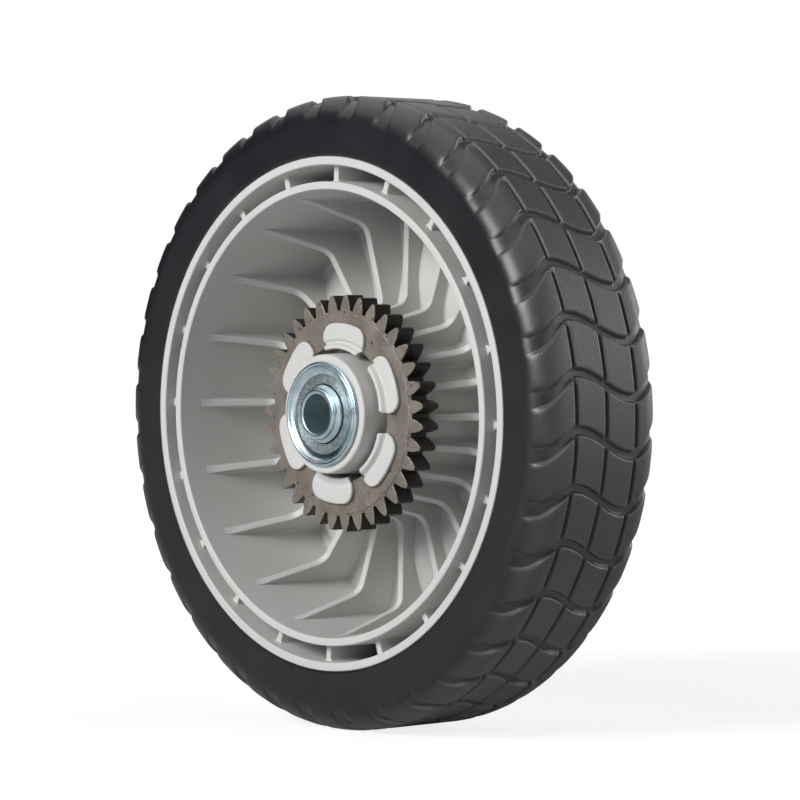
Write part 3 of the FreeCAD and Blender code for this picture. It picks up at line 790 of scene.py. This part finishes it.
def lug_surface(lip_height, lip_width, valley, tilt):
    """Head of one lug: rings that shrink from its outline to its middle, their height by radius.

    Outwards from the hub the top is a raised lip, a shallow valley and a flat pad, each lug a
    little different, and the rim of the head is rounded.
    """
    lip_slope, valley_place, valley_width = 0.35, 0.75, 0.65
    half_length, outer_droop = 9, 0.12
    outline = lug_outline(120)
    middle = np.array([LUG_MIDDLE, 0.0])
    away = outline - middle
    shrink = away / np.linalg.norm(away, axis=1, keepdims=True)
    corner = np.radians(np.linspace(0, 90, 6))
    rims = [outline - shrink * (LUG_EDGE * (1 - np.cos(turn))) for turn in corner]
    shares = np.linspace(1, 0.03, 25)[1:]
    rings = rims + [middle + (rims[-1] - middle) * share for share in shares]
    flat = np.stack(rings)
    radius = np.linalg.norm(flat, axis=-1)
    lip_end = LUG_INNER + lip_width
    lip = lip_height * (1 - ramp(lip_end - lip_slope, lip_end + lip_slope, radius))
    dip = valley * np.exp(-((radius - lip_end - valley_place) / valley_width) ** 2)
    slope = tilt * flat[..., 1] / half_length + outer_droop * ramp(LUG_OUTER - 2, LUG_OUTER, radius)
    top = LUG_TOP - lip + dip + slope
    drop = np.concatenate([LUG_EDGE * (1 - np.sin(corner)), np.zeros(len(shares))])
    height = top + drop[:, None]
    base = np.concatenate([np.full((1, len(outline)), WEB_FRONT + 0.02), height])
    flat = np.concatenate([outline[None], flat])
    return capped_surface(np.stack([flat[..., 0], base, flat[..., 1]], -1))


def stem_surface():
    """Stem of one lug: a ring sector that stands in the gear's notch."""
    half = np.radians(STEM_HALF_ANGLE)
    swing = np.linspace(-half, half, 12)
    radius = np.repeat([STEM_OUTER, LUG_INNER], len(swing))
    angle = np.concatenate([swing, swing[::-1]])
    along = np.array([GEAR_BACK + 0.6, WEB_FRONT - 0.4])
    return capped_surface(polar_points(radius[None, :], angle[None, :], along[:, None]))


def rim_surfaces():
    """All closed surfaces of the rim moulding.

    A lug's form is its lip's height and width, its valley's depth and its tilt.
    """
    surfaces = [rim_shell()]
    low_rib, high_rib, web = rib_surface(pocket), rib_surface(dish), web_surface()
    for number in range(RIB_COUNT):
        angle = np.radians(RIB_PHASE + number * 360 / RIB_COUNT)
        rib = low_rib if number % BAYS_IN_GROUP else high_rib
        surfaces += [round_the_axle(rib, angle), round_the_axle(web, angle)]
    forms = [
        (0.8, 1.6, 1.1, 0.1), (0.8, 1.5, 0.8, -0.08), (0.45, 1.5, 0.3, 0.05),
        (0.5, 1.6, 0.3, -0.05), (0.15, 1.5, 0.1, 0.04), (0.8, 1.7, 1.0, 0.1),
    ]
    stem = stem_surface()
    for number, form in enumerate(forms):
        angle = np.radians(LUG_PHASE + number * 360 / LUG_COUNT)
        surfaces += [round_the_axle(lug_surface(*form), angle), round_the_axle(stem, angle)]
    return surfaces


def involute(radius):
    """Involute angle at a radius: tan(pressure) - pressure."""
    pressure = np.arccos(np.clip(PITCH_RADIUS * np.cos(PRESSURE_ANGLE) / radius, -1, 1))
    return np.tan(pressure) - pressure


def gear_outline():
    """Toothed outline as x and z: root, involute flank, tip and back again for every tooth."""
    half = (np.pi / 2 + 2 * PROFILE_SHIFT * np.tan(PRESSURE_ANGLE)) / TOOTH_COUNT
    flank = np.array([33.15, 33.6, 34.4, 35.4, 36.4, 37.2, 37.62, 37.82])
    flank_angle = half + involute(PITCH_RADIUS) - involute(flank)
    root_angle = half + involute(PITCH_RADIUS) - involute(ROOT_RADIUS)
    pitch = TURN / TOOTH_COUNT
    radius = np.array([ROOT_RADIUS, ROOT_RADIUS, ROOT_RADIUS + 0.06, *flank, TIP_RADIUS])
    foot_angle = root_angle + np.array([0.012, 0.003, -0.001])
    angle = np.array([*foot_angle, *flank_angle, flank_angle[-1] - 0.006])
    angle = np.concatenate([-angle, [0], angle[::-1]])
    radius = np.concatenate([radius, [TIP_RADIUS], radius[::-1]])
    centre = np.radians(TOOTH_PHASE) + np.arange(TOOTH_COUNT) * pitch
    angle = (centre[:, None] + angle[None, :]).reshape(-1)
    radius = np.tile(radius, TOOTH_COUNT)
    return np.stack([radius * np.cos(angle), radius * np.sin(angle)], -1)


def gear_surface():
    """Spur gear: rows run from the notched bore over the raised web, round the teeth and back.

    The toothed rows are the outline moved inwards along its normal by a quarter circle, which
    rounds every tooth edge. The shade marks flanks with grease, and below 0 the edges that get
    painted glints.
    """
    outline = gear_outline()
    along = np.roll(outline, -1, 0) - np.roll(outline, 1, 0)
    normal = np.stack([along[:, 1], -along[:, 0]], -1)
    normal /= np.linalg.norm(normal, axis=1, keepdims=True)
    angle = np.arctan2(outline[:, 1], outline[:, 0])
    from_lug = (np.degrees(angle) - LUG_PHASE + 30) % 60 - 30
    notch = ramp(NOTCH_HALF_ANGLE + 0.2, NOTCH_HALF_ANGLE - 0.2, np.abs(from_lug))
    bore = GEAR_BORE + (NOTCH_RADIUS - GEAR_BORE) * notch
    spoke = np.stack([np.cos(angle), np.sin(angle)], -1)
    corner = np.radians(np.linspace(0, 90, 4))
    gap, bevel = 0.05, 0.2
    back, face = GEAR_BACK - gap, WEB_FRONT + gap
    step_radius = ROOT_RADIUS - 0.7
    whole = np.ones_like(bore)
    rows = [
        (bore + bevel, back, 0),
        (bore, back - bevel, 0),
        (bore, face + bevel, 0),
        (bore + bevel, face, 0),
        *[(bore + (step_radius - 0.3 - bore) * share, face, 0) for share in (0.3, 0.6, 1.0)],
        # Below 0 the web's step edge gets painted glints.
        (whole * (step_radius - 0.12), WEB_FRONT + 0.07, -0.7),
        (whole * (step_radius - 0.02), WEB_FRONT + 0.16, -1),
        (whole * step_radius, WEB_FRONT + 0.3, -0.5),
        (whole * (step_radius + 0.06), GEAR_FRONT, 0.1),
    ]
    flat = [spoke * radius[:, None] for radius, _, _ in rows]
    heights = [height * whole for _, height, _ in rows]
    grease_and_glints = [mark * whole for _, _, mark in rows]
    # Below 0 the rounded tooth edges get painted glints.
    for share in corner:
        flat.append(outline - normal * TOOTH_EDGE * (1 - np.sin(share)))
        heights.append(whole * (GEAR_FRONT + TOOTH_EDGE * (1 - np.cos(share))))
        grease_and_glints.append(-whole * np.sin(2 * share))
    for place in (0.1, 0.9):
        flat.append(outline)
        heights.append(whole * (GEAR_FRONT + (back - GEAR_FRONT) * place))
        grease_and_glints.append(whole)
    for share in corner[::-1]:
        flat.append(outline - normal * TOOTH_EDGE * (1 - np.sin(share)))
        heights.append(whole * (back - TOOTH_EDGE * (1 - np.cos(share))))
        grease_and_glints.append(0.8 * whole)
    flat.append(spoke * step_radius)
    heights.append(whole * back)
    grease_and_glints.append(0.6 * whole)
    flat, heights = np.stack(flat), np.stack(heights)
    grid = np.stack([flat[..., 0], heights, flat[..., 1]], -1)
    return ring_surface(grid, np.stack(grease_and_glints))


def facing(profile, sign):
    """A profile measured outwards from the hub's end face, placed at the front (-1) or rear (1)."""
    profile = np.array(profile, float)
    profile[:, 1] = sign * (HUB_FACE + profile[:, 1])
    return profile


def arc(centre, radius, first, last, count):
    """Points of an arc as corners without rounding; degrees turn from the radius outwards."""
    swing = np.radians(np.linspace(first, last, count))
    points = np.stack([centre[0] + radius * np.cos(swing), centre[1] + radius * np.sin(swing)], -1)
    return [(x, y, 0) for x, y in points]


def cup_profile():
    """Bearing cup: rolled bead, small ridge, concave collar over the shield, ball track and end."""
    return rounded([
        (CUP_RADIUS, 0.02, 0),
        *arc((16.1, 0.74), 0.7, -88, 140, 14),
        (15.42, 1.02, 0.06),
        *arc((15.12, 1.16), 0.26, 20, 150, 7),
        *arc((12.6, 3.74), 3.4, 311.7, 270, 12),
        (12.35, 0.23, 0.08),
        (13.58, 0.21, 0),
        (13.6, -0.25, 0.1),
        (13.0, -0.25, 0.1),
        *arc(BALL_CIRCLE, TRACK_RADIUS, 58.7, -58.7, 12),
        (13.0, -8.1, 0.2),
        (10.4, -8.1, 0.2),
        (10.4, -9, 0.2),
        (CUP_RADIUS, -9, 0.8),
    ], 4)


def shield_profile():
    """Flat pressed shield with rounded rims."""
    inner, outer, under = 9.65, 13.55, -0.2
    return rounded([
        (inner, under, 0.1),
        (outer, under, 0.1),
        (outer, SHIELD_FACE, 0.1),
        (inner, SHIELD_FACE, 0.15),
    ], 4)


def race_profile():
    """Inner race: bore, rounded lip, flared sleeve and ball track."""
    return rounded([
        (BORE_RADIUS, -8.6, 0.3),
        (BORE_RADIUS, 3.2, 0.5),
        (8.0, 3.2, 0.55),
        (8.25, 1.9, 0.6),
        (9.35, 0.9, 0.5),
        *arc(BALL_CIRCLE, TRACK_RADIUS, 126.5, 233.5, 12),
        (9.35, -8.6, 0.3),
    ], 4)


def build_object():
    """Every piece of the wheel, in place of its CAD node."""
    black, grey, steel = rubber(), plastic(), sintered_steel()
    zinc, dull, polished = zinc_plate(), dull_zinc(), ball_steel()
    piece("tyre_moulded", [tyre_surface()], black, "wheel", "tyre_rubber", "tyre")
    piece("rim_moulded", rim_surfaces(), grey, "wheel", "rim_plastic", "rim")
    piece("gear_pressed", [gear_surface()], steel, "wheel", "gear_steel", "drive_gear")
    for side, sign in (("front", -1), ("rear", 1)):
        cup, shield, race = (facing(profile, sign) for profile in (
            cup_profile(), shield_profile(), race_profile()))
        piece(f"cup_{side}", [turned(cup, 160)], zinc,
              "wheel", "bearing_zinc", f"bearing_cup_{side}")
        piece(f"shield_{side}", [turned(shield, 120)], dull,
              "wheel", "shield_steel", f"bearing_shield_{side}")
        piece(f"race_{side}", [turned(race, 128)], zinc,
              "axle_races", "bearing_zinc", f"inner_race_{side}")
    for node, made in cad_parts.items():
        if node.startswith("ball_"):
            made.data.materials.clear()
            made.data.materials.append(polished)


def background_rays(nodes):
    """1 for the rays that show the background: camera, glossy and transmission rays."""
    kinds = ("Is Camera Ray", "Is Glossy Ray", "Is Transmission Ray")
    camera, glossy, through = (nodes.node("ShaderNodeLightPath", output=kind) for kind in kinds)
    return camera + glossy + through


def stage_sheet(name, points, faces, material):
    """A floor or card of the studio, which isn't part of the wheel."""
    mesh = bpy.data.meshes.new(name)
    mesh.from_pydata(points, [], faces)
    mesh.materials.append(material)
    made = bpy.data.objects.new(name, mesh)
    bpy.context.scene.collection.objects.link(made)
    return made


def level_sheet(name, reach, level, material):
    """A square sheet of the studio at one level, reaching this far from the middle in metres."""
    corners = [(-reach, -reach, level), (reach, -reach, level),
               (reach, reach, level), (-reach, reach, level)]
    return stage_sheet(name, corners, [(0, 1, 2, 3)], material)


def pale_floor():
    """White floor that keeps a soft shadow near the wheel and fades to plain white further out."""
    material, nodes, place = shader_tree("pale_floor")
    away = nodes.node("ShaderNodeVectorMath", {"operation": "LENGTH"}, output=1, s0=place)
    far = away.step(0.16, 0.6)
    plain = nodes.node("ShaderNodeBsdfDiffuse", Color=(0.6, 0.6, 0.6, 1))
    faint = nodes.node("ShaderNodeBsdfDiffuse", Color=(0.3, 0.3, 0.3, 1))
    white = far.blend((0.82, 0.82, 0.82, 1), (1, 1, 1, 1))
    glow = nodes.node("ShaderNodeEmission", Color=white, Strength=1.0)
    lit = nodes.node("ShaderNodeAddShader", s0=faint, s1=glow)
    mixed = nodes.node("ShaderNodeMixShader", s0=background_rays(nodes), s1=plain, s2=lit)
    nodes.node("ShaderNodeOutputMaterial", Surface=mixed)
    level_sheet("floor", FLOOR_REACH, FLOOR_LEVEL, material)


def plain_card(name, level):
    """Matt card of one grey level."""
    material, nodes, _ = shader_tree(name)
    matt = nodes.node("ShaderNodeBsdfDiffuse", Color=(level, level, level, 1))
    nodes.node("ShaderNodeOutputMaterial", Surface=matt)
    return material


def reflected_cards():
    """Dark cards round the studio and a grey one on the floor, which only reflections show.

    Each dark card is a strip of a cylinder round the wheel.
    """
    dark, grey = plain_card("dark_card", 0.03), plain_card("grey_card", 0.85)
    just_above = FLOOR_LEVEL + 0.0005
    cards = [level_sheet("grey_floor", GREY_FLOOR_REACH, just_above, grey)]
    for number, (first, last, foot, head) in enumerate(DARK_CARDS):
        angle = np.radians(np.linspace(first, last, 17))
        ring = CARD_RADIUS * np.stack([np.sin(angle), -np.cos(angle)], -1)
        low = [(x, y, foot) for x, y in ring]
        high = [(x, y, head) for x, y in ring]
        count = len(low)
        faces = [(k, k + 1, count + k + 1, count + k) for k in range(count - 1)]
        cards.append(stage_sheet(f"dark_card_{number}", low + high, faces, dark))
    for card in cards:
        card.visible_camera = False
        card.visible_diffuse = False
        card.visible_transmission = False
        card.visible_shadow = False


def surroundings():
    """Faint even light from all sides, which camera and reflections see as plain white."""
    world = bpy.data.worlds.new("studio")
    bpy.context.scene.world = world
    world.use_nodes = True
    world.node_tree.nodes.clear()
    sky = Wire(world.node_tree)
    ambient = sky.node("ShaderNodeBackground", Color=(1, 1, 1, 1), Strength=AMBIENT)
    white = sky.node("ShaderNodeBackground", Color=(1, 1, 1, 1), Strength=1.0)
    mixed = sky.node("ShaderNodeMixShader", s0=background_rays(sky), s1=ambient, s2=white)
    sky.node("ShaderNodeOutputWorld", Surface=mixed)


def soft_lamps():
    """Area lamps that face the wheel's middle."""
    for name, place, size, power in LAMPS:
        lamp = bpy.data.lights.new(name, "AREA")
        lamp.shape = "RECTANGLE"
        lamp.size, lamp.size_y = size
        lamp.energy = power
        made = bpy.data.objects.new(name, lamp)
        made.location = place
        made.rotation_euler = (-Vector(place)).to_track_quat("-Z", "Y").to_euler()
        bpy.context.scene.collection.objects.link(made)


def photo_camera():
    """Camera at the photograph's angle, set beside the middle of the rim's front plane."""
    flat = np.cos(CAMERA_ELEVATION)
    back = Vector((
        np.sin(CAMERA_AZIMUTH) * flat, -np.cos(CAMERA_AZIMUTH) * flat, np.sin(CAMERA_ELEVATION)))
    right = Vector((np.cos(CAMERA_AZIMUTH), np.sin(CAMERA_AZIMUTH), 0))
    up = back.cross(right)
    aim = Vector((0, FRONT, 0)) - right * CAMERA_RIGHT - up * CAMERA_UP
    place = (aim + back * CAMERA_DISTANCE) * MILLIMETRE
    lens = bpy.data.cameras.new("camera")
    lens.sensor_width = 36
    lens.lens = lens.sensor_width * FOCAL_PIXELS / PICTURE_PIXELS
    camera = bpy.data.objects.new("camera", lens)
    turn = Matrix((right, up, back)).transposed().to_4x4()
    camera.matrix_world = Matrix.Translation(place) @ turn
    bpy.context.scene.collection.objects.link(camera)
    bpy.context.scene.camera = camera


bpy.context.scene.view_settings.view_transform = "Standard"
build_object()
pale_floor()
reflected_cards()
surroundings()
soft_lamps()
photo_camera()
bpy.context.view_layer.update()
